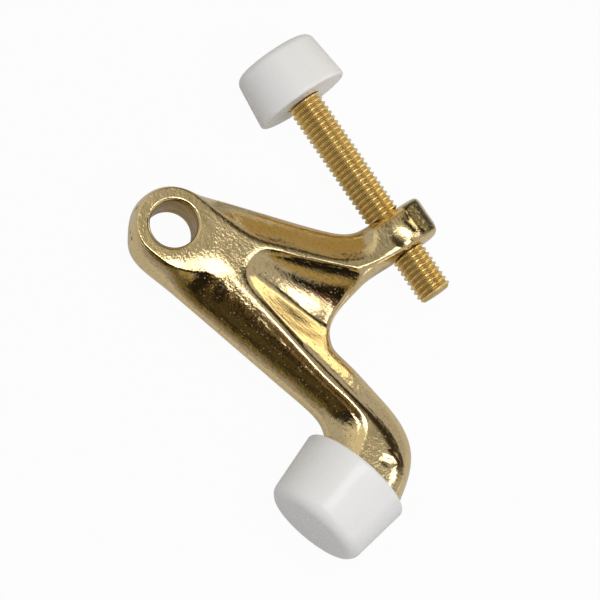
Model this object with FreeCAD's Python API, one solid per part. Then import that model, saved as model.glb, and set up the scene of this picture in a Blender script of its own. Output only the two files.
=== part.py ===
import FreeCAD, Part
import math
import os

# Hinge pin door stop, in millimetres.
# Origin: middle of the hinge pin bore. Z runs along the bore, Y runs along the adjusting rod
# towards its tip, and z = 0 is the parting plane of the casting.

# Eye that drops over the hinge pin
bore_radius = 3.3
bore_round = 0.45
eye_wall = 1.85
eye_flare = 0.65
eye_swell = 0.6
thickness = 6.8

# Lug and adjusting rod
rod_offset = 26.3
lug_drop = 17.4
rod_radius = 2.5
rod_clearance = 0.05
rod_tail = 10.0
rod_length = 36.9
rod_chamfer = 0.45
thread_pitch = 0.8
thread_depth = 0.44
thread_crest = 0.1

# Lower arm, foot and the peg that holds the fixed tip
arm_angle = -74.34
arm_step = 0.95
foot_drop = 41.0
foot_reach = 9.18
peg_radius = 3.2
peg_length = 6.0
peg_chamfer = 0.5
peg_squeeze = 0.02

# Web between the two arms
web_thickness = 2.2
web_round = 0.5

# Soft tips
rod_tip_length = 7.7
rod_tip_mouth_radius = 6.93
rod_tip_face_radius = 6.1
rod_tip_round = 1.3
rod_tip_grip = 4.2
fixed_tip_length = 9.9
fixed_tip_mouth_radius = 8.2
fixed_tip_face_radius = 7.15
fixed_tip_round = 1.7
mouth_round = 0.4
tip_clearance = 0.03
socket_room = 0.3

# The flank of the casting is part of an ellipse this many times as tall as the face is high, so
# that it leaves the parting plane upright and meets the face at a crisp edge. A pocket wall is
# hollow instead, and runs out at this share of the height with this steepness.
flank_ratio = 1.15
hollow_share = 0.7
hollow_power = 2.4
flank_levels = [0.0, 0.3, 0.55, 0.75, 0.9, 1.0]

half_thickness = thickness / 2
eye_face_radius = bore_radius + eye_wall
eye_waist_radius = eye_face_radius + eye_flare
arm_back = -eye_waist_radius - arm_step
mouth_across = -foot_reach
arm_direction = FreeCAD.Vector(math.cos(math.radians(arm_angle)), math.sin(math.radians(arm_angle)), 0)
arm_right = FreeCAD.Vector(-arm_direction.y, arm_direction.x, 0)
rod_direction = FreeCAD.Vector(0, 1, 0)


def vec(x, y, z=0.0):
    return FreeCAD.Vector(x, y, z)


def eye(degrees, radius):
    """Point on a circle about the bore."""
    turn = math.radians(degrees)
    return vec(radius * math.cos(turn), radius * math.sin(turn))


def low(percent, across):
    """Point of the lower arm: percent of the way from the bore to the foot, and across to the right."""
    return arm_direction * (percent / 100 * foot_drop) + arm_right * across


def lug(x, y):
    """Point of the lug, from the middle of the rod's hole."""
    return vec(rod_offset + x, y - lug_drop)


def standing(level, scoop):
    """How far the wall stands out at a height: 1 at the parting plane and 0 at the face.

    A flank (scoop 0) is convex, part of an ellipse; a pocket wall (scoop 1) is hollow.
    """
    top = math.sqrt(1.0 - (1.0 / flank_ratio) ** 2)
    here = math.sqrt(1.0 - (level / flank_ratio) ** 2)
    convex = (here - top) / (1.0 - top)
    hollow = min(1.0, (1.0 - level) / hollow_share) ** hollow_power
    return convex * (1.0 - scoop) + hollow * scoop


# Outline of the eye, arms and lug as runs of points: at the parting plane, at the face, and how
# hollow the wall between the two is. It starts on the right of the eye, goes round its top and
# down the lower arm to the foot, back along the pocket to the lug and up the upper arm.
outline = [
    ("arc", [eye(30, eye_waist_radius), eye(90, eye_waist_radius), eye(150, eye_waist_radius)],
     [eye(30, eye_face_radius), eye(90, eye_face_radius), eye(150, eye_face_radius)], (0, 0, 0)),
    ("curve", [eye(150, eye_waist_radius), eye(173, eye_waist_radius + eye_swell), low(0.0, arm_back)],
     [eye(150, eye_face_radius), eye(178, eye_face_radius), eye(205, eye_face_radius)], (0, 0, 0)),
    ("curve", [low(0.0, arm_back), low(8.5, arm_back), low(18.3, arm_back), low(25.6, arm_back),
               low(32.9, arm_back), low(41.5, arm_back)],
     [eye(205, eye_face_radius), vec(-3.4, -5.1), vec(-0.4, -7.9), vec(1.7, -10.1), low(33.7, -0.9),
      low(42.7, -1.3)], (0, 0, 0, 0, 0, 0)),
    ("line", [low(41.5, arm_back), low(73.2, arm_back)],
     [low(42.7, -1.3), low(90.2, -3.55)], (0, 0)),
    ("curve", [low(73.2, arm_back), low(81.0, -7.3), low(86.8, mouth_across)],
     [low(90.2, -3.55), low(94.1, -5.6), low(96.1, mouth_across)], (0, 0, 0)),
    ("line", [low(86.8, mouth_across), low(117.6, mouth_across)],
     [low(96.1, mouth_across), low(113.9, mouth_across)], (0, 0)),
    ("curve", [low(117.6, mouth_across), low(114.3, -5.14), low(108.8, -1.7), low(99.1, 0.45)],
     [low(113.9, mouth_across), low(111.2, -5.2), low(106.3, -3.4), low(99.5, -2.4)], (0, 0, 0, 0)),
    ("curve", [low(99.1, 0.45), low(86.6, 1.35), low(75.6, 1.9), low(67.3, 2.2)],
     [low(99.5, -2.4), low(85.6, -1.85), low(74.4, -1.6), low(65.9, -1.4)], (0, 0, 0, 0)),
    ("curve", [low(67.3, 2.2), low(58.5, 2.9), low(48.8, 3.6), low(42.0, 4.1)],
     [low(65.9, -1.4), low(57.3, -1.15), low(47.6, -0.7), low(39.0, -0.3)], (0, 0.6, 1, 1)),
    ("curve", [low(42.0, 4.1), vec(8.6, -15.0), vec(8.9, -14.75), vec(9.3, -14.9), vec(9.9, -15.5)],
     [low(39.0, -0.3), vec(4.0, -13.0), vec(4.7, -11.1), vec(6.2, -9.9), vec(8.7, -9.9)],
     (1, 1, 1, 1, 1)),
    ("line", [vec(9.9, -15.5), lug(-10.4, -3.3)],
     [vec(8.7, -9.9), lug(-9.2, -0.6)], (1, 1)),
    ("curve", [lug(-10.4, -3.3), lug(-7.3, -3.25), lug(-3.0, -3.2), lug(4.1, -3.05)],
     [lug(-9.2, -0.6), lug(-6.7, -1.8), lug(-2.3, -2.4), lug(2.1, -2.6)],
     (1, 0.3, 0, 0)),
    ("arc", [lug(4.1, -3.05), lug(5.1, -2.65), lug(5.55, -1.6)],
     [lug(2.1, -2.6), lug(2.7, -2.45), lug(2.9, -2.0)], (0, 0, 0)),
    ("line", [lug(5.55, -1.6), lug(5.6, 2.2)],
     [lug(2.9, -2.0), lug(2.7, 1.3)], (0, 0)),
    ("arc", [lug(5.6, 2.2), lug(5.4, 2.75), lug(4.8, 3.0)],
     [lug(2.7, 1.3), lug(2.55, 1.75), lug(2.1, 1.95)], (0, 0, 0)),
    ("line", [lug(4.8, 3.0), lug(-2.8, 3.1)],
     [lug(2.1, 1.95), lug(-3.3, 1.85)], (0, 0)),
    ("curve", [lug(-2.8, 3.1), lug(-4.7, 3.3), lug(-6.4, 4.1), lug(-9.05, 6.6)],
     [lug(-3.3, 1.85), lug(-4.4, 0.5), lug(-6.1, -0.35), lug(-9.8, 1.45)],
     (0, 0, 0, 0)),
    ("line", [lug(-9.05, 6.6), vec(8.0, -0.2)],
     [lug(-9.8, 1.45), vec(9.1, -8.1)], (0, 0)),
    ("curve", [vec(8.0, -0.2), vec(7.1, 0.75), vec(6.2, 1.7), eye(30, eye_waist_radius)],
     [vec(9.1, -8.1), vec(7.6, -5.3), vec(6.1, -1.6), eye(30, eye_face_radius)], (0, 0, 0, 0)),
]


def edge(kind, points):
    """A line, an arc through three points or a smooth curve through all the points."""
    if kind == "line":
        return Part.makeLine(points[0], points[1])
    if kind == "arc":
        return Part.Arc(points[0], points[1], points[2]).toShape()
    curve = Part.BSplineCurve()
    curve.interpolate(points)
    return curve.toShape()


def section(level):
    """The closed outline of the casting at a height above the parting plane."""
    lift = vec(0, 0, level * half_thickness)
    edges = []
    for kind, waist, face, scoops in outline:
        points = []
        for out, top, scoop in zip(waist, face, scoops):
            points.append(top + (out - top) * standing(level, scoop) + lift)
        edges.append(edge(kind, points))
    return Part.Wire(edges)


half = Part.makeLoft([section(level) for level in flank_levels], True, False)
arms = half.fuse(half.mirror(vec(0, 0, 0), vec(0, 0, 1)))

# The web fills the fork between the arms; its free edge curves from the lower arm to the lug.
free_edge = edge("curve", [low(70.2, 1.5), low(65.6, 2.59), low(62.2, 3.96), low(60.6, 5.81),
                           lug(-10.9, -3.95), lug(-6.8, -3.2)])
rest = Part.makePolygon([lug(-6.8, -3.2), lug(-6.8, -1.0), vec(12.0, -10.0), vec(2.0, -6.0),
                         low(48.8, -3.0), low(70.2, -1.0), low(70.2, 1.5)])
web_face = Part.Face(Part.Wire([free_edge] + rest.Edges))
web_face.translate(vec(0, 0, -web_thickness / 2))
web = web_face.extrude(vec(0, 0, web_thickness))
free_rims = []
for candidate in web.Edges:
    level_edge = abs(abs(candidate.CenterOfMass.z) - web_thickness / 2) < 1e-6
    if level_edge and abs(candidate.Length - free_edge.Length) < 1e-6:
        free_rims.append(candidate)
web = web.makeFillet(web_round, free_rims)
casting = arms.fuse(web)

# Bore with rounded ends
bore = Part.makeCylinder(bore_radius, 2 * thickness, vec(0, 0, -thickness))
casting = casting.cut(bore)
bore_ends = []
for candidate in casting.Edges:
    round_edge = candidate.Curve.TypeId == "Part::GeomCircle"
    if round_edge and abs(candidate.Curve.Radius - bore_radius) < 1e-6:
        bore_ends.append(candidate)
casting = casting.makeFillet(bore_round, bore_ends)

# Adjusting rod, turned from one profile with a groove for each turn of its thread, and its hole
# through the lug
rod_start = lug(0, -rod_tail)
grooves = int((rod_length - 2 * rod_chamfer - thread_crest) / thread_pitch)
first_groove = (rod_length - grooves * thread_pitch + thread_crest) / 2
rod_profile = [(0, 0), (rod_radius - rod_chamfer, 0), (rod_radius, rod_chamfer)]
for turn in range(grooves):
    groove = first_groove + turn * thread_pitch
    groove_width = thread_pitch - thread_crest
    rod_profile.append((rod_radius, groove))
    rod_profile.append((rod_radius - thread_depth, groove + groove_width / 2))
    rod_profile.append((rod_radius, groove + groove_width))
rod_profile += [(rod_radius, rod_length - rod_chamfer), (rod_radius - rod_chamfer, rod_length), (0, rod_length)]
rod_outline = Part.makePolygon([rod_start + vec(out, along) for out, along in rod_profile + rod_profile[:1]])
rod = Part.Face(rod_outline).revolve(rod_start, rod_direction, 360)
hole = Part.makeCylinder(rod_radius + rod_clearance, rod_length, rod_start, rod_direction)
casting = casting.cut(hole)

# Peg on the end of the foot
foot = low(100.0, mouth_across)
outward = -arm_right
peg = Part.makeCylinder(peg_radius, peg_length, foot, outward)
peg_end = [rim for rim in peg.Edges if rim.CenterOfMass.distanceToPoint(foot) > peg_length - 0.01]
casting = casting.fuse(peg.makeChamfer(peg_chamfer, peg_end[:1]))


def tip(mouth, axis, length, mouth_radius, face_radius, rounding, socket_radius, socket_depth):
    """A tapered cap turned about its axis, with a blind socket in its wide end."""
    cap = Part.makeCone(mouth_radius, face_radius, length, mouth, axis)
    rims = [rim for rim in cap.Edges if rim.Closed]
    rims.sort(key=lambda rim: rim.CenterOfMass.distanceToPoint(mouth))
    cap = cap.makeFillet(rounding, [rims[1]])
    rims = [rim for rim in cap.Edges if rim.Closed]
    rims.sort(key=lambda rim: rim.CenterOfMass.distanceToPoint(mouth))
    cap = cap.makeFillet(mouth_round, [rims[0]])
    return cap.cut(Part.makeCylinder(socket_radius, socket_depth, mouth, axis))


# Soft tips on the peg and on the rod
fixed_tip = tip(foot, outward, fixed_tip_length, fixed_tip_mouth_radius, fixed_tip_face_radius,
                fixed_tip_round, peg_radius - peg_squeeze, peg_length + socket_room)
rod_mouth = rod_start + rod_direction * (rod_length - rod_tip_grip)
rod_tip = tip(rod_mouth, rod_direction, rod_tip_length, rod_tip_mouth_radius, rod_tip_face_radius,
              rod_tip_round, rod_radius + tip_clearance, rod_tip_grip + socket_room)

os.makedirs("parts", exist_ok=True)
pieces = {"casting": casting, "fixed_tip": fixed_tip, "rod": rod, "rod_tip": rod_tip}
for name, shape in pieces.items():
    shape.exportStep("parts/" + name + ".step")
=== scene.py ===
import math

import bmesh
import bpy
import numpy as np
from mathutils import Matrix, Vector
from mathutils.geometry import tessellate_polygon


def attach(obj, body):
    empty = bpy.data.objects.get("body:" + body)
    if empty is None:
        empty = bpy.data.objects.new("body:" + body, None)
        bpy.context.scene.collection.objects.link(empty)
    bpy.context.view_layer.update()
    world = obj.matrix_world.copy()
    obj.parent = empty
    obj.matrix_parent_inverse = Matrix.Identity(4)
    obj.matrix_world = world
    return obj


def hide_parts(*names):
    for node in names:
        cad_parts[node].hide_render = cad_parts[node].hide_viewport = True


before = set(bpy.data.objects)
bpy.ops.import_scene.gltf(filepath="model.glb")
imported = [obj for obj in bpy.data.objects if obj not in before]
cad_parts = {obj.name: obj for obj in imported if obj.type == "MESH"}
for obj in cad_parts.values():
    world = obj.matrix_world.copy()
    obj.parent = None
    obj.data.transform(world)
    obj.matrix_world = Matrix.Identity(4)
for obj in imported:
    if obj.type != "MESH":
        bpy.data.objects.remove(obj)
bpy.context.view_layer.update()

MM = 0.001

# Sizes of the door stop in millimetres
BORE_RADIUS = 3.3
BORE_ROUND = 0.45
EYE_FACE = 5.15
EYE_WAIST = 5.8
HALF_THICK = 3.4
ROD_X = 26.3
LUG_Y = -17.4
ROD_RADIUS = 2.5
ROD_HOLE = 2.55
ROD_START = -27.4
ROD_LENGTH = 36.9
# Cone at each end of the rod: how far it cuts in, and its slope
ROD_END_CUT = 0.55
ROD_END_SLOPE = 1.1
PITCH = 0.8
THREAD_DEPTH = 0.34
ARM_ANGLE = math.radians(-74.34)
FOOT_DROP = 41.0
ARM_BACK = -6.75
MOUTH = -9.18
# Peg that holds the fixed tip, and how far it reaches back into the foot
PEG_RADIUS = 3.17
PEG_LENGTH = 6.0
PEG_BEVEL = 0.5
PEG_ROOT = 1.5
# Length past the foot's end that is built and cut off, and the steps along it
STUB_LENGTH = 3.6
STUB_STEPS = 12
# Room between the foot's end and the fixed tip
FOOT_GAP = 0.013
WEB_HALF = 0.6
# Height of the flank's ellipse, in half thicknesses
FLANK_RATIO = 1.3
CREST_ROUND = 0.22
LIP_ROUND = 0.4

# Fineness of the meshes
OUTLINE_STEP = 0.24
FLANK_ROWS = 40
FLANK_TOP = 0.87
FLANK_CROWDING = 1.6
ROUND_SIDES = 96
TIP_SIDES = 128
ROD_SIDES = 72
STEPS_PER_PITCH = 16
SOFTEN_PASSES = 24
SCOOP_PASSES = 25
LEVEL_NORMAL = 0.999999

ARM_ALONG = np.array([math.cos(ARM_ANGLE), math.sin(ARM_ANGLE)])
ARM_RIGHT = np.array([-ARM_ALONG[1], ARM_ALONG[0]])


# Mesh helpers

def eye(degrees, radius):
    """Point at an angle and a distance from the middle of the bore."""
    turn = math.radians(degrees)
    return (radius * math.cos(turn), radius * math.sin(turn))


def low(percent, across):
    """Point of the lower arm: percent of the way to the foot, and across to the right."""
    return tuple(ARM_ALONG * (percent / 100 * FOOT_DROP) + ARM_RIGHT * across)


def lug(x, y):
    """Point of the lug, from the middle of the rod's hole."""
    return (ROD_X + x, LUG_Y + y)


def new_mesh(name, points, faces):
    """A mesh object at the origin from points in millimetres and a list of faces."""
    mesh = bpy.data.meshes.new(name)
    mesh.from_pydata((np.asarray(points) * MM).tolist(), [], faces)
    mesh.validate()
    piece = bpy.data.objects.new(name, mesh)
    bpy.context.scene.collection.objects.link(piece)
    return piece


def grid_faces(rows, columns, start=0):
    """Quads of a grid whose columns close into a ring."""
    a = np.arange(rows - 1)[:, None] * columns + np.arange(columns)[None, :]
    b = np.arange(rows - 1)[:, None] * columns + (np.arange(columns)[None, :] + 1) % columns
    quads = np.stack([a, b, b + columns, a + columns], -1).reshape(-1, 4) + start
    return quads.tolist()


def closed_tube(rows, sides):
    """Faces of a row of rings, closed by a fan to one point past the rings at each end."""
    count = rows * sides
    ring = np.arange(sides)
    following = (ring + 1) % sides
    last = count - sides
    first_fan = np.stack([following, ring, np.full(sides, count)], 1)
    last_fan = np.stack([last + ring, last + following, np.full(sides, count + 1)], 1)
    return grid_faces(rows, sides) + first_fan.tolist() + last_fan.tolist()


def spline(knots, segments):
    """Natural cubic spline through knots, parameter = square root of chord, sampled per segment.

    segments holds the number of samples in each span; the last knot is not repeated.
    """
    p = np.asarray(knots, float)
    t = np.concatenate([[0], np.cumsum(np.linalg.norm(np.diff(p, axis=0), axis=1) ** 0.5)])
    n = len(p)
    gap = np.diff(t)
    system = np.eye(n)
    right = np.zeros((n, 2))
    inner = np.arange(1, n - 1)
    system[inner, inner - 1] = gap[:-1]
    system[inner, inner] = 2 * (gap[:-1] + gap[1:])
    system[inner, inner + 1] = gap[1:]
    slope = np.diff(p, axis=0) / gap[:, None]
    right[1:-1] = 6 * (slope[1:] - slope[:-1])
    bend = np.linalg.solve(system, right)
    span = np.repeat(np.arange(n - 1), segments)
    share = np.concatenate([np.arange(m) / m for m in segments])
    b = share[:, None]
    a = 1 - b
    square = (gap[span] ** 2)[:, None] / 6
    return (a * p[span] + b * p[span + 1]
            + square * ((a ** 3 - a) * bend[span] + (b ** 3 - b) * bend[span + 1]))


def convex_stand(level):
    """How far a flank stands out at a height: part of an ellipse, 1 at the parting plane, 0 at the face."""
    top = math.sqrt(1 - 1 / FLANK_RATIO ** 2)
    return (np.sqrt(1 - (level / FLANK_RATIO) ** 2) - top) / (1 - top)


def nearest(points, line):
    """Distance of each point from a dense row of points."""
    gap = points[:, None, :] - line[None, :, :]
    return np.sqrt((gap ** 2).sum(-1)).min(1)


def soften(values):
    """A closed row of values, each averaged with its neighbours many times over."""
    for _ in range(SOFTEN_PASSES):
        values = values / 2 + (np.roll(values, 1) + np.roll(values, -1)) / 4
    return values


# Casting: knots of the outline as (parting plane point, face point, share of pocket)

OUTLINE = [
    (low(117.6, MOUTH), low(113.9, MOUTH), 0),
    (low(114.3, -5.14), low(111.2, -5.2), 0),
    (low(108.8, -1.7), low(106.3, -3.4), 0),
    (low(99.1, 0.45), low(99.5, -2.4), 0),
    (low(86.6, 1.35), low(85.6, -1.85), 0),
    (low(75.6, 1.9), low(74.4, -1.6), 0),
    (low(67.9, 2.15), low(65.9, -1.4), 0),
    (low(65.6, 2.59), low(57.3, -1.15), 0.6),
    ((10.15, -24.3), low(47.6, -0.7), 1),
    ((10.7, -23.5), low(39.0, -0.3), 1),
    ((11.2, -23.05), (4.0, -13.0), 1),
    ((11.7, -22.7), (4.7, -11.1), 1),
    ((12.3, -22.35), (6.2, -9.9), 1),
    ((13.2, -21.98), (8.7, -9.9), 1),
    ((14.3, -21.64), (11.5, -12.6), 1),
    ((15.5, -21.34), (14.3, -15.3), 1),
    ((16.9, -21.05), lug(-9.2, -0.6), 1),
    (lug(-7.3, -3.25), lug(-6.7, -1.8), 0.3),
    (lug(-3.0, -3.2), lug(-2.3, -2.4), 0),
    (lug(1.0, -3.15), lug(0.2, -2.55), 0),
    (lug(4.1, -3.05), lug(2.1, -2.6), 0),
    (lug(5.1, -2.65), lug(2.7, -2.45), 0),
    (lug(5.55, -1.6), lug(2.9, -2.0), 0),
    (lug(5.58, 0.3), lug(2.8, -0.35), 0),
    (lug(5.6, 2.2), lug(2.7, 1.3), 0),
    (lug(5.4, 2.75), lug(2.55, 1.75), 0),
    (lug(4.8, 3.0), lug(2.1, 1.95), 0),
    (lug(1.0, 3.05), lug(-0.6, 1.9), 0),
    (lug(-2.8, 3.1), lug(-3.3, 1.85), 0),
    (lug(-4.7, 3.3), lug(-4.4, 0.5), 0),
    (lug(-6.4, 4.1), lug(-6.1, -0.35), 0),
    (lug(-9.05, 6.6), lug(-9.8, 1.45), 0),
    ((12.6, -5.5), (12.8, -12.0), 0),
    ((8.0, -0.2), (9.1, -8.1), 0),
    ((7.1, 0.75), (7.6, -5.3), 0),
    ((6.2, 1.7), (6.1, -1.6), 0),
    (eye(30, EYE_WAIST), eye(30, EYE_FACE), 0),
    (eye(60, EYE_WAIST), eye(60, EYE_FACE), 0),
    (eye(90, EYE_WAIST), eye(90, EYE_FACE), 0),
    (eye(120, EYE_WAIST), eye(120, EYE_FACE), 0),
    (eye(150, EYE_WAIST), eye(150, EYE_FACE), 0),
    (eye(173, EYE_WAIST + 0.6), eye(178, EYE_FACE), 0),
    (low(0.0, ARM_BACK), eye(205, EYE_FACE), 0),
    (low(8.5, ARM_BACK), (-3.4, -5.1), 0),
    (low(18.3, ARM_BACK), (-0.4, -7.9), 0),
    (low(25.6, ARM_BACK), (1.7, -10.1), 0),
    (low(32.9, ARM_BACK), low(33.7, -0.9), 0),
    (low(41.5, ARM_BACK), low(42.7, -1.3), 0),
    (low(52.0, ARM_BACK), low(58.0, -2.05), 0),
    (low(63.0, ARM_BACK), low(74.0, -2.8), 0),
    (low(73.2, ARM_BACK), low(90.2, -3.55), 0),
    (low(81.0, -7.3), low(94.1, -5.6), 0),
    (low(86.8, MOUTH), low(96.1, MOUTH), 0),
]
# Where the face rolls off before its edge: knot of the outline, width of the roll, slope at the edge
ROLL = {
    0: (1.8, 16), 1: (1.9, 18), 2: (2.0, 18), 3: (1.8, 16), 4: (1.0, 16), 5: (0.6, 16),
    6: (0.5, 15), 7: (0.4, 12),
    10: (0.6, 8), 11: (1.3, 14), 12: (1.3, 14), 13: (0.7, 8),
    17: (0.3, 2), 18: (0.9, 14), 19: (1.2, 18), 20: (1.2, 18), 21: (1.4, 18), 22: (1.9, 20), 23: (2.0, 22),
    24: (2.0, 22), 25: (1.9, 20), 26: (1.3, 16), 27: (1.2, 16), 28: (1.2, 14), 29: (0.8, 14), 30: (0.6, 14),
    31: (0.7, 15), 32: (0.9, 16), 33: (1.0, 16), 34: (1.0, 16), 35: (0.8, 12), 36: (0.4, 4),
    41: (0.3, 1), 42: (0.5, 2), 43: (2.4, 7), 44: (3.6, 12), 45: (2.6, 12), 45.45: (0.4, 5),
    46: (0.35, 5), 47: (0.35, 5), 48: (0.35, 5), 49: (0.35, 5), 50: (0.35, 4), 51: (0.5, 6), 52: (0.8, 10),
}
PLAIN_ROLL = (0.3, 0)
# Scoop between the arms: a shallow cone that deepens away from its apex
SCOOP_APEX = (2.7, -4.1)
SCOOP_LOWER, SCOOP_UPPER = -81.7, -44.0
SCOOP_VALLEY = 0.36
SCOOP_START, SCOOP_END = 5.5, 20.0
# Powers that bend the scoop's lower wall, upper wall and deepening
LOWER_POWER, UPPER_POWER, DEPTH_POWER = 1.12, 3.2, 1.7
# Rounded rim along the web's free edge: its width and power
RIM_WIDTH, RIM_POWER = 0.9, 2.2
# Knots of the outline between which the pocket lies
POCKET_KNOTS = (6, 18)


def casting_surface():
    """Points and faces of the cast body.

    One row of points runs round the outline at each height; from the parting plane to the face it
    leans in by the ellipse law of the flank. In the scoop the depth is a profile over the bearing
    from the cone's apex, 0 at both rims and 1 in the valley, times the distance from the apex,
    with a rounded rim at the web's free edge. A quadratic curve rounds the crest, the face rolls
    off by a parabola where it does, and the lower half is the mirror image of the upper one.
    """
    waist_knots = [k[0] for k in OUTLINE]
    face_knots = [k[1] for k in OUTLINE]
    chord = np.maximum(np.linalg.norm(np.diff(waist_knots, axis=0), axis=1),
                       np.linalg.norm(np.diff(face_knots, axis=0), axis=1))
    segments = np.maximum(4, np.ceil(chord / OUTLINE_STEP)).astype(int)
    past = outward[:2] * STUB_LENGTH

    def closed(knots):
        """The spline through the knots, closed by straight lines round a stub past the foot."""
        first, last = np.array(knots[0]), np.array(knots[-1])
        corners = np.array([last, last + past, first + past, first])
        share = np.cumsum([0, STUB_STEPS, 2 * STUB_STEPS, STUB_STEPS])
        steps = np.arange(share[-1])
        end = np.stack([np.interp(steps, share, c) for c in corners.T], 1)
        return np.concatenate([spline(knots, segments), end])

    waist, face = closed(waist_knots), closed(face_knots)
    count = len(waist)
    index = np.concatenate([[0], np.cumsum(segments)])
    pocket = np.interp(np.arange(count), index, [k[2] for k in OUTLINE])
    pocket = pocket ** 2 * (3 - 2 * pocket)
    first, last = index[list(POCKET_KNOTS)]
    free_edge = waist[first:last]

    rolls = {k: PLAIN_ROLL for k in range(len(OUTLINE))} | ROLL
    stations = np.array(sorted(rolls), float)
    rolls = np.array([rolls[k] for k in stations])
    place = np.interp(stations, np.arange(len(index)), index)
    place = np.concatenate([place, [index[-1] + STUB_STEPS, count - STUB_STEPS, count]])
    rolls = np.concatenate([rolls, [PLAIN_ROLL, PLAIN_ROLL, rolls[0]]])
    width, slope = (soften(np.interp(np.arange(count), place, r)) for r in rolls.T)
    slope = np.tan(np.radians(slope))
    top = HALF_THICK - slope * width / 2

    level = 1 - (1 - np.linspace(0, FLANK_TOP, FLANK_ROWS)) ** FLANK_CROWDING
    lean = convex_stand(level)
    flat = face[None] + (waist - face)[None] * lean[:, None, None]
    height = level[:, None] * top[None]
    inside = flat[:, first:last].reshape(-1, 2)
    ray = inside - np.array(SCOOP_APEX)
    bearing = np.degrees(np.arctan2(ray[:, 1], ray[:, 0]))
    share = np.clip((bearing - SCOOP_LOWER) / (SCOOP_UPPER - SCOOP_LOWER), 0, 1)
    lower_side = 1 - (1 - np.clip(share / SCOOP_VALLEY, 0, 1)) ** LOWER_POWER
    upper_side = 1 - (1 - np.clip((1 - share) / (1 - SCOOP_VALLEY), 0, 1)) ** UPPER_POWER
    outwards = np.clip((np.linalg.norm(ray, axis=1) - SCOOP_START) / (SCOOP_END - SCOOP_START), 0, 1)
    drop = np.minimum(lower_side, upper_side) * (1 - (1 - outwards) ** DEPTH_POWER)
    off_rim = np.clip(nearest(inside, free_edge) / RIM_WIDTH, 0, 1)
    hollow = HALF_THICK - (HALF_THICK - WEB_HALF) * drop
    rim = (1 - (1 - off_rim) ** RIM_POWER) ** (1 / RIM_POWER)
    hollow = (hollow * rim).reshape(len(level), last - first)
    for _ in range(SCOOP_PASSES):
        near = (hollow[:-2, 1:-1] + hollow[2:, 1:-1] + hollow[1:-1, :-2] + hollow[1:-1, 2:]) / 4
        hollow[1:-1, 1:-1] += 0.5 * (near - hollow[1:-1, 1:-1])
    share = pocket[first:last]
    height[:, first:last] = height[:, first:last] * (1 - share) + hollow * share

    step = np.roll(face, -1, 0) - np.roll(face, 1, 0)
    inward = np.stack([-step[:, 1], step[:, 0]], 1) / np.linalg.norm(step, axis=1)[:, None]
    start = np.concatenate([flat[-1], height[-1][:, None]], 1)
    corner = np.concatenate([face, top[:, None]], 1)
    across = CREST_ROUND + (width - CREST_ROUND) * np.linspace(0, 1, 13)[:, None]
    rolled = face[None] + inward[None] * across[..., None]
    rise = HALF_THICK - slope * width / 2 * (1 - across / width) ** 2
    dome = np.concatenate([rolled, rise[..., None]], 2)
    bend = np.linspace(0, 1, 8)[1:-1, None, None]
    crest = (1 - bend) ** 2 * start + 2 * bend * (1 - bend) * corner + bend ** 2 * dome[0]
    crest = np.concatenate([crest, dome])
    upper = np.concatenate([np.concatenate([flat, height[..., None]], 2), crest])
    lower = upper[:0:-1] * np.array([1, 1, -1])
    rows = np.concatenate([lower, upper])

    turn = np.linspace(0, 2 * math.pi, ROUND_SIDES, endpoint=False)
    arc = np.linspace(0, math.pi / 2, 9)
    ring_r = BORE_RADIUS + BORE_ROUND - BORE_ROUND * np.sin(arc)
    ring_z = HALF_THICK - BORE_ROUND + BORE_ROUND * np.cos(arc)
    ring_r = np.concatenate([ring_r, ring_r[::-1]])
    ring_z = np.concatenate([ring_z, -ring_z[::-1]])
    bore = np.stack([ring_r[:, None] * np.cos(turn), ring_r[:, None] * np.sin(turn),
                     np.repeat(ring_z[:, None], len(turn), 1)], -1)

    points = np.concatenate([rows.reshape(-1, 3), bore.reshape(-1, 3)])
    faces = grid_faces(len(rows), count)
    base = rows.shape[0] * count
    faces += grid_faces(len(ring_r), len(turn), base)
    upper_rim, lower_rim = np.arange(count) + base - count, np.arange(count)
    upper_bore = base + np.arange(ROUND_SIDES)
    lower_bore = upper_bore + (len(ring_r) - 1) * ROUND_SIDES
    level_points = points * np.array([1, 1, 0])
    for outer, hole, up in ((upper_rim, upper_bore, True), (lower_rim, lower_bore, False)):
        loop = np.concatenate([outer, hole])
        outlines = [level_points[part].tolist() for part in (outer, hole)]
        triangles = loop[np.array(tessellate_polygon(outlines))]
        a, b, c = points[triangles].transpose(1, 0, 2)
        wrong = (np.cross(b - a, c - a)[:, 2] > 0) != up
        triangles[wrong] = triangles[wrong, ::-1]
        faces += triangles.tolist()
    return points, faces


def finish_shading(piece, degrees):
    """Smooth shading, with sharp edges past an angle and round every level face."""
    mesh = piece.data
    mesh.shade_smooth()
    mesh.set_sharp_from_angle(angle=math.radians(degrees))
    normals = np.zeros(len(mesh.polygons) * 3, np.float32)
    mesh.polygons.foreach_get("normal", normals)
    mesh.polygons.foreach_set("use_smooth", np.abs(normals[2::3]) < LEVEL_NORMAL)
    mesh.update()


def turned(profile, centre, axis, sides):
    """Points and faces of a closed form turned about an axis.

    profile holds (distance along the axis, radius) pairs that start and end on the axis; each pair
    is carried round the circle spanned by two directions square to the axis.
    """
    profile = np.asarray(profile, float)
    axis = np.asarray(axis, float) / np.linalg.norm(axis)
    side = np.cross(axis, [0.0, 0.0, 1.0])
    side /= np.linalg.norm(side)
    other = np.cross(axis, side)
    turn = np.linspace(0, 2 * math.pi, sides, endpoint=False)
    circle = np.cos(turn)[:, None] * side + np.sin(turn)[:, None] * other
    body_rows = profile[1:-1]
    points = centre + body_rows[:, :1, None] * axis + body_rows[:, 1, None, None] * circle[None]
    ends = centre + profile[[0, -1], :1] * axis
    faces = closed_tube(len(body_rows), sides)
    return np.concatenate([points.reshape(-1, 3), ends]), faces


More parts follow.
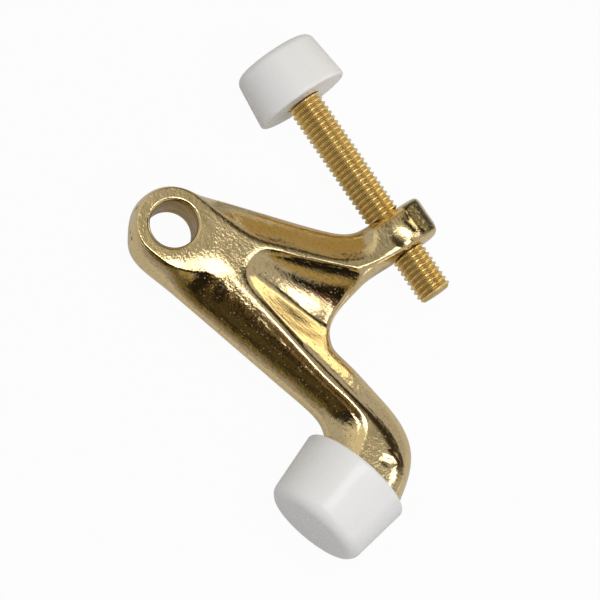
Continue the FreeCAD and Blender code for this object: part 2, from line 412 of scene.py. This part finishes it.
def arc_points(centre, radius, start, stop, count):
    """Points of a circular arc in the (along, radius) plane, angles in degrees."""
    angle = np.radians(np.linspace(start, stop, count))
    circle = np.stack([np.cos(angle), np.sin(angle)], 1)
    return [tuple(p) for p in np.asarray(centre) + radius * circle]


def tip_profile(length, mouth_radius, face_radius, rounding, socket_radius, socket_depth):
    """Section of a soft tip from the bottom of its socket, round its mouth and wall, to its face.

    The wall is a straight taper; arcs tangent to it round the mouth and the striking face.
    """
    taper = math.degrees(math.atan((mouth_radius - face_radius) / length))
    slope = (mouth_radius - face_radius) / length
    mouth = (LIP_ROUND, mouth_radius - slope * LIP_ROUND - LIP_ROUND / math.cos(math.radians(taper)))
    nose_along = length - rounding
    nose = (nose_along, mouth_radius - slope * nose_along - rounding / math.cos(math.radians(taper)))
    points = [(socket_depth, 0.0), (socket_depth, socket_radius * 0.5), (socket_depth, socket_radius)]
    points += [(socket_depth * s, socket_radius) for s in (0.66, 0.33)]
    points += [(0.0, socket_radius), (0.0, socket_radius + 0.08)]
    points += [(0.0, socket_radius + (mouth[1] - socket_radius) * s) for s in (0.35, 0.7)]
    points += arc_points(mouth, LIP_ROUND, 180, 90 - taper, 8)
    wall = np.linspace(points[-1], arc_points(nose, rounding, 90 - taper, 0, 2)[0], 8)
    points += [tuple(w) for w in wall[1:-1]]
    points += arc_points(nose, rounding, 90 - taper, 0, 14)
    edge = points[-1][1]
    points += [(length, edge * s) for s in (0.85, 0.6, 0.3)] + [(length, 0.0)]
    return points


def thread_depth(phase):
    """Depth of the thread over one pitch: flat crest, straight flanks, rounded root, from 0 to 1."""
    wave = np.abs((phase % 1.0) - 0.5) * 2
    crest_end, root_start = 0.2, 0.85
    flank = np.clip((wave - crest_end) / (root_start - crest_end), 0, 1)
    return flank ** 2 * (3 - 2 * flank) * 0.4 + flank * 0.6


def rod_surface():
    """Points and faces of the threaded rod.

    The radius is the outer radius less the thread's depth at (height / pitch - turn), which climbs
    one pitch in a right-hand turn; a cone at each end and the plain ends close it.
    """
    sides = ROD_SIDES
    steps = int(ROD_LENGTH / PITCH * STEPS_PER_PITCH)
    along = np.linspace(0, ROD_LENGTH, steps)
    turn = np.linspace(0, 2 * math.pi, sides, endpoint=False)
    phase = along[:, None] / PITCH - turn[None] / (2 * math.pi)
    radius = ROD_RADIUS - THREAD_DEPTH * thread_depth(phase)
    cone = ROD_RADIUS - ROD_END_CUT + np.minimum(along, ROD_LENGTH - along)[:, None] * ROD_END_SLOPE
    radius = np.minimum(radius, cone)
    points = np.stack([ROD_X + radius * np.sin(turn), np.repeat(along[:, None] + ROD_START, sides, 1),
                       radius * np.cos(turn)], -1)
    ends = np.array([[ROD_X, ROD_START, 0], [ROD_X, ROD_START + ROD_LENGTH, 0]])
    faces = closed_tube(steps, sides)
    return np.concatenate([points.reshape(-1, 3), ends]), faces


def combine(piece, operation, points, faces):
    """Adds a second closed form to a piece, or takes it out."""
    form = new_mesh("form", points, faces)
    step = piece.modifiers.new("form", "BOOLEAN")
    step.operation = operation
    step.solver = "EXACT"
    step.object = form
    graph = bpy.context.evaluated_depsgraph_get()
    result = bpy.data.meshes.new_from_object(piece.evaluated_get(graph))
    piece.modifiers.clear()
    piece.data = result
    bpy.data.objects.remove(form)


def rod_hole():
    """Points and faces of the hole for the rod, a plain cylinder through the lug."""
    below, above = -30.0, -5.0
    profile = [(below, 0.0), (below, ROD_HOLE), (above, ROD_HOLE), (above, 0.0)]
    return turned(profile, np.array([ROD_X, 0.0, 0.0]), (0, 1, 0), ROUND_SIDES)


def trim_foot(piece):
    """Cuts a piece square at the foot's end and closes the cut with one flat face."""
    form = bmesh.new()
    form.from_mesh(piece.data)
    everything = form.verts[:] + form.edges[:] + form.faces[:]
    place = Vector((foot - outward * FOOT_GAP) * MM)
    cut = bmesh.ops.bisect_plane(form, geom=everything, dist=1e-8, plane_co=place,
                                 plane_no=Vector(outward), clear_outer=True)
    rim = [e for e in cut["geom_cut"] if isinstance(e, bmesh.types.BMEdge)]
    bmesh.ops.edgeloop_fill(form, edges=rim)
    form.to_mesh(piece.data)
    form.free()


def foot_peg():
    """Points and faces of the peg under the fixed tip, a cylinder with a bevelled end."""
    profile = [(-PEG_ROOT, 0.0), (-PEG_ROOT, PEG_RADIUS),
               (PEG_LENGTH - PEG_BEVEL, PEG_RADIUS),
               (PEG_LENGTH, PEG_RADIUS - PEG_BEVEL), (PEG_LENGTH, 0.0)]
    return turned(profile, foot, outward, ROUND_SIDES)


foot = np.array([*low(100, MOUTH), 0.0])
outward = np.array([*(-ARM_RIGHT), 0.0])
stop_casting = new_mesh("stop_casting", *casting_surface())
combine(stop_casting, "DIFFERENCE", *rod_hole())
trim_foot(stop_casting)
combine(stop_casting, "UNION", *foot_peg())
finish_shading(stop_casting, 40)
threaded_rod = new_mesh("threaded_rod", *rod_surface())
finish_shading(threaded_rod, 50)
rod_profile = tip_profile(length=7.7, mouth_radius=6.93, face_radius=6.1, rounding=1.3,
                          socket_radius=2.53, socket_depth=4.5)
rod_mouth = np.array([ROD_X, 5.3, 0])
rod_end_tip = new_mesh("rod_end_tip", *turned(rod_profile, rod_mouth, (0, 1, 0), TIP_SIDES))
finish_shading(rod_end_tip, 50)
foot_profile = tip_profile(length=9.9, mouth_radius=8.2, face_radius=7.15, rounding=1.7,
                           socket_radius=3.18, socket_depth=6.3)
foot_tip = new_mesh("foot_tip", *turned(foot_profile, foot, outward, TIP_SIDES))
finish_shading(foot_tip, 50)

for piece, node, riding, slot in (
        (stop_casting, "casting", "stop_body", "plated_casting"),
        (foot_tip, "fixed_tip", "stop_body", "white_rubber"),
        (threaded_rod, "rod", "screw_rod", "brass_rod"),
        (rod_end_tip, "rod_tip", "sliding_tip", "white_rubber")):
    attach(piece, riding)
    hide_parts(node)


# Shader helpers

def add(tree, kind, **settings):
    """A new node of one kind, with its properties set."""
    made = tree.nodes.new(kind)
    for name, value in settings.items():
        setattr(made, name, value)
    return made


def feed(tree, socket, source):
    """Links a socket to a source socket, or sets its value."""
    if isinstance(source, bpy.types.NodeSocket):
        tree.links.new(source, socket)
    else:
        socket.default_value = source


def math_node(tree, operation, *values):
    """Result of one operation on values or sockets."""
    made = add(tree, "ShaderNodeMath", operation=operation)
    for socket, value in zip(made.inputs, values):
        feed(tree, socket, value)
    return made.outputs[0]


def map_node(tree, value, low_in, high_in, low_out, high_out):
    """A value carried from one range to another by a smooth step."""
    made = add(tree, "ShaderNodeMapRange", interpolation_type="SMOOTHSTEP")
    for socket, source in zip(made.inputs, (value, low_in, high_in, low_out, high_out)):
        feed(tree, socket, source)
    return made.outputs[0]


def mix_colour(tree, share, first, second):
    """First colour where the share is 0, second where it is 1."""
    made = add(tree, "ShaderNodeMix", data_type="RGBA")
    feed(tree, made.inputs[0], share)
    feed(tree, made.inputs[6], first)
    feed(tree, made.inputs[7], second)
    return made.outputs[2]


def noise_node(tree, vector, scale, detail, rough):
    """Soft noise between 0 and 1."""
    made = add(tree, "ShaderNodeTexNoise")
    tree.links.new(vector, made.inputs["Vector"])
    made.inputs["Scale"].default_value = scale
    made.inputs["Detail"].default_value = detail
    made.inputs["Roughness"].default_value = rough
    return made.outputs["Fac"]


def new_group(name, inputs, outputs):
    """An empty node group with inputs (name, type, first value) and outputs (name, type)."""
    group = bpy.data.node_groups.new(name, "ShaderNodeTree")
    for label, kind, value in inputs:
        socket = group.interface.new_socket(label, in_out="INPUT", socket_type=kind)
        if value is not None:
            socket.default_value = value
    for label, kind in outputs:
        group.interface.new_socket(label, in_out="OUTPUT", socket_type=kind)
    return group, add(group, "NodeGroupInput"), add(group, "NodeGroupOutput")


def dot_node(tree, vector, line):
    """How far a vector reaches along a line."""
    made = add(tree, "ShaderNodeVectorMath", operation="DOT_PRODUCT")
    tree.links.new(vector, made.inputs[0])
    made.inputs[1].default_value = line
    return made.outputs["Value"]


def distance_node(tree, vector, place):
    """Distance of a point from a place."""
    made = add(tree, "ShaderNodeVectorMath", operation="DISTANCE")
    tree.links.new(vector, made.inputs[0])
    made.inputs[1].default_value = place
    return made.outputs["Value"]


# How much narrower the rubbing marks are across the lower arm than along it
STREAK_STRETCH = 6.0


def plating_group():
    """Plated metal: slow mottling, an orange-peel height, small pits, fine rubbing marks and specks."""
    group, start, stop = new_group(
        "plated_metal",
        [("Vector", "NodeSocketVector", None), ("Pit Share", "NodeSocketFloat", 0.3),
         ("Peel", "NodeSocketFloat", 1.0), ("Grain", "NodeSocketFloat", 0.5),
         ("Streaks", "NodeSocketFloat", 0.15)],
        [("Mottle", "NodeSocketFloat"), ("Pits", "NodeSocketFloat"), ("Height", "NodeSocketFloat"),
         ("Rubbing", "NodeSocketFloat"), ("Specks", "NodeSocketFloat")])
    vector = start.outputs["Vector"]
    mottle = noise_node(group, vector, 160.0, 4.0, 0.6)
    peel = noise_node(group, vector, 520.0, 4.0, 0.55)
    grain = noise_node(group, vector, 2800.0, 3.0, 0.6)
    cells = add(group, "ShaderNodeTexVoronoi", feature="F1")
    group.links.new(vector, cells.inputs["Vector"])
    cells.inputs["Scale"].default_value = 2600.0
    split = add(group, "ShaderNodeSeparateColor")
    group.links.new(cells.outputs["Color"], split.inputs[0])
    chosen = math_node(group, "LESS_THAN", split.outputs[0], start.outputs["Pit Share"])
    size = map_node(group, split.outputs[1], 0.0, 1.0, 0.06, 0.3)
    spot = map_node(group, math_node(group, "DIVIDE", cells.outputs["Distance"], size), 0.6, 1.0, 1.0, 0.0)
    pits = math_node(group, "MULTIPLY", spot, chosen)
    stretched = add(group, "ShaderNodeCombineXYZ")
    lines = ((*ARM_ALONG, 0.0), (*ARM_RIGHT * STREAK_STRETCH, 0.0), (0.0, 0.0, STREAK_STRETCH))
    for socket, line in zip(stretched.inputs, lines):
        group.links.new(dot_node(group, vector, line), socket)
    rub = noise_node(group, stretched.outputs[0], 260.0, 4.0, 0.65)
    height = math_node(group, "MULTIPLY", peel, start.outputs["Peel"])
    height = math_node(group, "MULTIPLY_ADD", grain, start.outputs["Grain"], height)
    height = math_node(group, "MULTIPLY_ADD", rub, start.outputs["Streaks"], height)
    height = math_node(group, "MULTIPLY_ADD", pits, -0.5, height)
    specks = map_node(group, noise_node(group, vector, 2600.0, 3.0, 0.7), 0.5, 0.66, 0.0, 1.0)
    for socket, source in zip(stop.inputs, (mottle, pits, height, rub, specks)):
        group.links.new(source, socket)
    return group


def new_material(name):
    """An empty material, its tree, its shader and its object coordinates."""
    material = bpy.data.materials.new(name)
    material.use_nodes = True
    tree = material.node_tree
    shader = tree.nodes["Principled BSDF"]
    coords = add(tree, "ShaderNodeTexCoord").outputs["Object"]
    return material, tree, shader, coords


def bump(tree, shader, height, strength, distance):
    """Leads a height into the shader's normal."""
    made = add(tree, "ShaderNodeBump")
    made.inputs["Strength"].default_value = strength
    made.inputs["Distance"].default_value = distance
    tree.links.new(height, made.inputs["Height"])
    tree.links.new(made.outputs[0], shader.inputs["Normal"])


PLATED = plating_group()
# Dark scuffs on the side of the eye: (x, y, z, radius)
SCUFFS = [(-5.6, 1.5, 1.7, 0.45), (-5.2, 2.4, 1.4, 0.4), (-3.0, 4.8, 2.5, 0.6)]
# Uneven places of the cast face, each a small patch that leans over: (x, y, radius)
PATCHES = [(6.3, -42.8, 1.45), (26.6, -18.2, 2.5)]
PATCH_SLOPE, PATCH_BEARING = 3.9, math.radians(26)
PATCH_LEAN = (PATCH_SLOPE * math.cos(PATCH_BEARING), PATCH_SLOPE * math.sin(PATCH_BEARING))


def plated_casting():
    """Brass plating on the casting.

    Level faces are grained, flanks are rubbed and pitted, the pocket is smoother, the bore is darker
    and shows drill marks, and the lug's end has a dark, rough patch of painted shade in place of a
    dark end facet.
    """
    material, tree, shader, coords = new_material("plated_casting")
    plate = add(tree, "ShaderNodeGroup", node_tree=PLATED)
    tree.links.new(coords, plate.inputs["Vector"])
    axes = add(tree, "ShaderNodeSeparateXYZ")
    tree.links.new(coords, axes.inputs[0])
    height = math_node(tree, "ABSOLUTE", axes.outputs["Z"])
    on_face = map_node(tree, height, 3.0 * MM, 3.3 * MM, 0.0, 1.0)
    square = math_node(tree, "MULTIPLY", axes.outputs["X"], axes.outputs["X"])
    square = math_node(tree, "MULTIPLY_ADD", axes.outputs["Y"], axes.outputs["Y"], square)
    out = math_node(tree, "SQRT", square)
    in_bore = map_node(tree, out, 3.36 * MM, 3.5 * MM, 1.0, 0.0)
    main_face = map_node(tree, axes.outputs["Y"], -22.0 * MM, -13.0 * MM, 0.45, 0.94)
    main_face = map_node(tree, out, 4.6 * MM, 6.5 * MM, 0.6, main_face)
    tree.links.new(map_node(tree, on_face, 0.0, 1.0, 0.22, main_face), plate.inputs["Grain"])
    tree.links.new(map_node(tree, on_face, 0.0, 1.0, 0.55, 0.1), plate.inputs["Pit Share"])
    from_pocket = distance_node(tree, coords, (10.0 * MM, -17.0 * MM, 0.0))
    uneven = map_node(tree, from_pocket, 6.5 * MM, 9.0 * MM, 0.8, 2.4)
    tree.links.new(map_node(tree, on_face, 0.0, 1.0, uneven, 1.0), plate.inputs["Peel"])
    tree.links.new(map_node(tree, on_face, 0.0, 1.0, 0.9, 0.1), plate.inputs["Streaks"])
    # Painted shade: a dark patch over the lug's end, standing in for an end facet that would look dark
    end_shade_start = map_node(tree, axes.outputs["X"], (ROD_X + 2.0) * MM, (ROD_X + 2.4) * MM, 0.0, 1.0)
    end_shade_stop = map_node(tree, axes.outputs["X"], (ROD_X + 4.7) * MM, (ROD_X + 5.1) * MM, 1.0, 0.0)
    end_shade_off = math_node(tree, "SUBTRACT", axes.outputs["Y"], (LUG_Y + 0.1) * MM)
    end_shade_side = map_node(tree, math_node(tree, "ABSOLUTE", end_shade_off), 2.2 * MM, 2.7 * MM, 1.0, 0.0)
    end_shade = math_node(tree, "MULTIPLY", math_node(tree, "MULTIPLY", end_shade_start, end_shade_stop), end_shade_side)
    end_shade = math_node(tree, "MULTIPLY", end_shade, map_node(tree, plate.outputs["Specks"], 0.0, 1.0, 0.96, 0.6))
    tone = mix_colour(tree, plate.outputs["Mottle"], (0.76, 0.58, 0.28, 1), (0.90, 0.74, 0.44, 1))
    specks = map_node(tree, on_face, 0.0, 1.0, 0.30, 0.12)
    specks = math_node(tree, "MULTIPLY", plate.outputs["Specks"], specks)
    tone = mix_colour(tree, specks, tone, (0.34, 0.25, 0.13, 1))
    # The bore is coloured darker than the plating, in bands like drill marks
    rings = add(tree, "ShaderNodeVectorMath", operation="MULTIPLY")
    tree.links.new(coords, rings.inputs[0])
    rings.inputs[1].default_value = (0.12, 0.12, 1.0)
    bore_colour = map_node(tree, noise_node(tree, rings.outputs[0], 1700.0, 3.0, 0.6), 0.35, 0.65, 0.0, 1.0)
    bore_colour = mix_colour(tree, bore_colour, (0.31, 0.175, 0.025, 1), (0.58, 0.37, 0.07, 1))
    tone = mix_colour(tree, math_node(tree, "MULTIPLY", in_bore, 0.9), tone, bore_colour)
    # Painted shade laid over the lug's end
    tone = mix_colour(tree, end_shade, tone, (0.05, 0.042, 0.022, 1))
    for x, y, z, radius in SCUFFS:
        away = distance_node(tree, coords, (x * MM, y * MM, z * MM))
        scuff = map_node(tree, away, 0.3 * radius * MM, radius * MM, 0.85, 0.0)
        tone = mix_colour(tree, scuff, tone, (0.12, 0.08, 0.04, 1))
    pits = math_node(tree, "MULTIPLY", plate.outputs["Pits"], 0.8)
    tone = mix_colour(tree, pits, tone, (0.05, 0.04, 0.02, 1))
    tree.links.new(tone, shader.inputs["Base Color"])
    shader.inputs["Metallic"].default_value = 1.0
    rough = map_node(tree, plate.outputs["Rubbing"], 0.35, 0.75, 0.05, 0.1)
    rough = math_node(tree, "MULTIPLY_ADD", on_face, 0.02, rough)
    rough = math_node(tree, "MULTIPLY_ADD", in_bore, 0.15, rough)
    rough = math_node(tree, "MULTIPLY_ADD", plate.outputs["Pits"], 0.3, rough)
    tree.links.new(rough, shader.inputs["Roughness"])
    relief = plate.outputs["Height"]
    for x, y, radius in PATCHES:
        away = add(tree, "ShaderNodeVectorMath", operation="SUBTRACT")
        tree.links.new(coords, away.inputs[0])
        away.inputs[1].default_value = (x * MM, y * MM, HALF_THICK * MM)
        lean = dot_node(tree, away.outputs[0], (PATCH_LEAN[0] / MM, PATCH_LEAN[1] / MM, 0.0))
        length = add(tree, "ShaderNodeVectorMath", operation="LENGTH")
        tree.links.new(away.outputs[0], length.inputs[0])
        within = map_node(tree, length.outputs["Value"], 0.0, radius * MM, 1.0, 0.0)
        relief = math_node(tree, "MULTIPLY_ADD", lean, within, relief)
    bump(tree, shader, relief, 1.0, 0.04 * MM)
    return material


def brass_rod():
    """Bright plated thread, with painted shade darkening its grooves, which are also duller."""
    material, tree, shader, coords = new_material("brass_rod")
    plate = add(tree, "ShaderNodeGroup", node_tree=PLATED)
    tree.links.new(coords, plate.inputs["Vector"])
    plate.inputs["Pit Share"].default_value = 0.08
    axes = add(tree, "ShaderNodeSeparateXYZ")
    tree.links.new(coords, axes.inputs[0])
    side = math_node(tree, "SUBTRACT", axes.outputs["X"], ROD_X * MM)
    square = math_node(tree, "MULTIPLY", axes.outputs["Z"], axes.outputs["Z"])
    square = math_node(tree, "ADD", math_node(tree, "MULTIPLY", side, side), square)
    radius = math_node(tree, "SQRT", square)
    # Grooves of the thread: darkened below as painted shade, and made duller
    shaded_groove = map_node(tree, radius, 2.17 * MM, 2.34 * MM, 1.0, 0.0)
    tone = mix_colour(tree, plate.outputs["Mottle"], (0.95, 0.69, 0.26, 1), (0.98, 0.80, 0.40, 1))
    # Painted shade: the thread's grooves are darkened in colour
    tone = mix_colour(tree, math_node(tree, "MULTIPLY", shaded_groove, 0.4), tone, (0.25, 0.14, 0.04, 1))
    tree.links.new(tone, shader.inputs["Base Color"])
    shader.inputs["Metallic"].default_value = 1.0
    rough = map_node(tree, plate.outputs["Rubbing"], 0.3, 0.8, 0.16, 0.3)
    tree.links.new(math_node(tree, "MULTIPLY_ADD", shaded_groove, 0.2, rough), shader.inputs["Roughness"])
    bump(tree, shader, plate.outputs["Height"], 0.25, 0.02 * MM)
    return material


def white_rubber():
    """Smooth white rubber with faint clouds and a fine grain."""
    material, tree, shader, coords = new_material("white_rubber")
    cloud = noise_node(tree, coords, 140.0, 4.0, 0.6)
    grain = noise_node(tree, coords, 3200.0, 3.0, 0.6)
    tone = mix_colour(tree, cloud, (0.84, 0.85, 0.86, 1), (0.89, 0.90, 0.91, 1))
    tree.links.new(tone, shader.inputs["Base Color"])
    tree.links.new(map_node(tree, grain, 0.3, 0.7, 0.23, 0.28), shader.inputs["Roughness"])
    shader.inputs["Specular IOR Level"].default_value = 0.55
    bump(tree, shader, math_node(tree, "MULTIPLY_ADD", cloud, 3.0, grain), 0.06, 0.02 * MM)
    return material


rubber = white_rubber()
for piece, material in ((stop_casting, plated_casting()), (threaded_rod, brass_rod()),
                        (rod_end_tip, rubber), (foot_tip, rubber)):
    piece.data.materials.clear()
    piece.data.materials.append(material)


# Camera at the photograph's viewing angle

# Lean of the bore's axis from the line of sight, the side it leans to, and the rod's slant in the image
TILT, TILT_SIDE, ROD_LEAN = math.radians(17.5), math.radians(52.0), math.radians(180 - 55.6)
PIXELS_PER_MM = 7.3
# Distance of the camera in millimetres
CAMERA_AWAY = 3500.0 / PIXELS_PER_MM
SENSOR_WIDTH = 36.0
# Where the middle of the bore lies in the image, and the image's width
ORIGIN_PIXEL = (170.4, 229.8)
IMAGE = 600

bore_axis = np.array([math.sin(TILT) * math.cos(TILT_SIDE), math.sin(TILT) * math.sin(TILT_SIDE),
                      math.cos(TILT)])
rod_line = np.array([math.cos(ROD_LEAN), math.sin(ROD_LEAN), 0.0])
rod_line[2] = -(rod_line @ bore_axis) / bore_axis[2]
rod_line /= np.linalg.norm(rod_line)
seen = np.stack([np.cross(rod_line, bore_axis), rod_line, bore_axis], 1)
offset = np.array([ORIGIN_PIXEL[0] - IMAGE / 2, IMAGE / 2 - ORIGIN_PIXEL[1], 0]) / PIXELS_PER_MM
camera_place = seen.T @ (np.array([0, 0, CAMERA_AWAY]) - offset) * MM
camera_data = bpy.data.cameras.new("camera")
camera = bpy.data.objects.new("camera", camera_data)
bpy.context.scene.collection.objects.link(camera)
turn = Matrix(seen.T.tolist()).to_4x4()
camera.matrix_world = Matrix.Translation(Vector(camera_place)) @ turn
camera_data.sensor_width = SENSOR_WIDTH
camera_data.lens = SENSOR_WIDTH / 2 / (IMAGE / 2 / PIXELS_PER_MM / CAMERA_AWAY)
camera_data.clip_start = 0.01
bpy.context.scene.camera = camera
bpy.context.scene.view_settings.view_transform = "Standard"


# Floor, studio and lamps

def direction(azimuth, elevation):
    """Unit vector towards an azimuth and an elevation in degrees."""
    a, e = math.radians(azimuth), math.radians(elevation)
    return (math.cos(e) * math.cos(a), math.cos(e) * math.sin(a), math.sin(e))


def shows_background(tree):
    """1 for a camera or transmitted ray, and a small share for a glossy one."""
    path = add(tree, "ShaderNodeLightPath")
    glossy = math_node(tree, "MULTIPLY", path.outputs["Is Glossy Ray"], GLOSSY_SHARE)
    both = math_node(tree, "MAXIMUM", path.outputs["Is Camera Ray"], glossy)
    return math_node(tree, "MAXIMUM", both, path.outputs["Is Transmission Ray"])


FLOOR_Z = -8.25
FLOOR_HALF = 900.0
FLOOR_GLOW = 0.96
GLOSSY_SHARE = 0.1
corners = np.array([(-1, -1, 0), (1, -1, 0), (1, 1, 0), (-1, 1, 0)]) * FLOOR_HALF + (0, 0, FLOOR_Z)
floor = new_mesh("floor", corners, [(0, 1, 2, 3)])
floor_material = bpy.data.materials.new("floor_white")
floor_material.use_nodes = True
tree = floor_material.node_tree
tree.nodes.clear()
paper = add(tree, "ShaderNodeBsdfDiffuse")
paper.inputs["Color"].default_value = (0.6, 0.6, 0.6, 1)
glow = add(tree, "ShaderNodeEmission")
glow.inputs["Strength"].default_value = 1.0
blend = add(tree, "ShaderNodeMixShader")
tree.links.new(math_node(tree, "MULTIPLY", shows_background(tree), FLOOR_GLOW), blend.inputs[0])
tree.links.new(paper.outputs[0], blend.inputs[1])
tree.links.new(glow.outputs[0], blend.inputs[2])
tree.links.new(blend.outputs[0], add(tree, "ShaderNodeOutputMaterial").inputs["Surface"])
floor.data.materials.append(floor_material)

world = bpy.data.worlds.new("studio")
bpy.context.scene.world = world
world.use_nodes = True
tree = world.node_tree
tree.nodes.clear()
ray = add(tree, "ShaderNodeTexCoord").outputs["Generated"]
STUDIO_BASE = (0.48, 0.47, 0.47, 1)
# Cards and flags round the object: (azimuth, elevation, inner angle, outer angle, colour)
STUDIO = [
    (52, 24, 14, 34, (0.38, 0.28, 0.12, 1)),
    (24, 71, 6, 15, (0.30, 0.295, 0.275, 1)),
    (-8, 57, 8, 13, (0.05, 0.04, 0.025, 1)),
    (8, 54, 7, 12, (0.04, 0.03, 0.02, 1)),
    (22, 54, 7, 12, (0.04, 0.03, 0.02, 1)),
    (37, 56, 7, 12, (0.05, 0.04, 0.02, 1)),
    (95, 70, 8, 26, (0.72, 0.69, 0.60, 1)),
    (202, 8, 14, 30, (0.36, 0.34, 0.36, 1)),
    (207, 40, 16, 28, (0.17, 0.14, 0.06, 1)),
    (202, 64, 18, 32, (0.02, 0.016, 0.010, 1)),
    (190, 57, 4, 10, (0.085, 0.066, 0.030, 1)),
    (268, 70, 8, 13, (0.015, 0.012, 0.008, 1)),
    (243, 42, 7, 14, (0.40, 0.31, 0.14, 1)),
    (235, 18, 11, 17, (0.015, 0.012, 0.008, 1)),
    (200, 78, 4, 8, (0.20, 0.14, 0.07, 1)),
    (297, 75, 4, 8, (0.16, 0.10, 0.08, 1)),
]
light = STUDIO_BASE
for azimuth, elevation, inner, outer, colour in STUDIO:
    facing = dot_node(tree, ray, direction(azimuth, elevation))
    edge, core = math.cos(math.radians(outer)), math.cos(math.radians(inner))
    light = mix_colour(tree, map_node(tree, facing, edge, core, 0.0, 1.0), light, colour)
studio = add(tree, "ShaderNodeBackground")
tree.links.new(light, studio.inputs["Color"])
white = add(tree, "ShaderNodeBackground")
white.inputs["Color"].default_value = (1, 1, 1, 1)
blend = add(tree, "ShaderNodeMixShader")
tree.links.new(add(tree, "ShaderNodeLightPath").outputs["Is Camera Ray"], blend.inputs[0])
tree.links.new(studio.outputs[0], blend.inputs[1])
tree.links.new(white.outputs[0], blend.inputs[2])
tree.links.new(blend.outputs[0], add(tree, "ShaderNodeOutputWorld").inputs["Surface"])

MIDDLE, POCKET = Vector((0.012, -0.018, 0.0)), Vector((0.006, -0.017, 0.0023))
WHITE, WARM = (1.0, 1.0, 1.0), (1.0, 0.88, 0.55)
# (name, place it lights, azimuth, elevation, distance, width, height, radiance, colour,
#  seen by the camera, seen in reflections)
LAMPS = [
    ("key", MIDDLE, 332, 68, 0.6, 0.11, 0.11, 3.5, WHITE, True, True),
    ("overhead", MIDDLE, 26, 87.5, 0.6, 0.20, 0.10, 4.5, WHITE, True, True),
    ("side_card", POCKET, 8.5, 15, 0.06, 0.02, 0.024, 1.35, WARM, False, True),
    ("low_strip", MIDDLE, 300, 6, 0.6, 0.45, 0.07, 1.6, WHITE, True, True),
    ("fill", MIDDLE, 255, 74, 0.6, 0.5, 0.5, 2.35, WHITE, True, False),
]
for name, place, azimuth, elevation, away, width, tall, radiance, colour, on_camera, glossy in LAMPS:
    data = bpy.data.lights.new(name, "AREA")
    data.shape = "RECTANGLE"
    data.size, data.size_y = width, tall
    data.energy = radiance * math.pi * width * tall
    data.color = colour
    lamp = bpy.data.objects.new(name, data)
    bpy.context.scene.collection.objects.link(lamp)
    aim = Vector(direction(azimuth, elevation))
    lamp.location = place + aim * away
    lamp.rotation_mode = "QUATERNION"
    lamp.rotation_quaternion = aim.to_track_quat("Z", "Y")
    lamp.visible_camera = on_camera
    lamp.visible_glossy = glossy
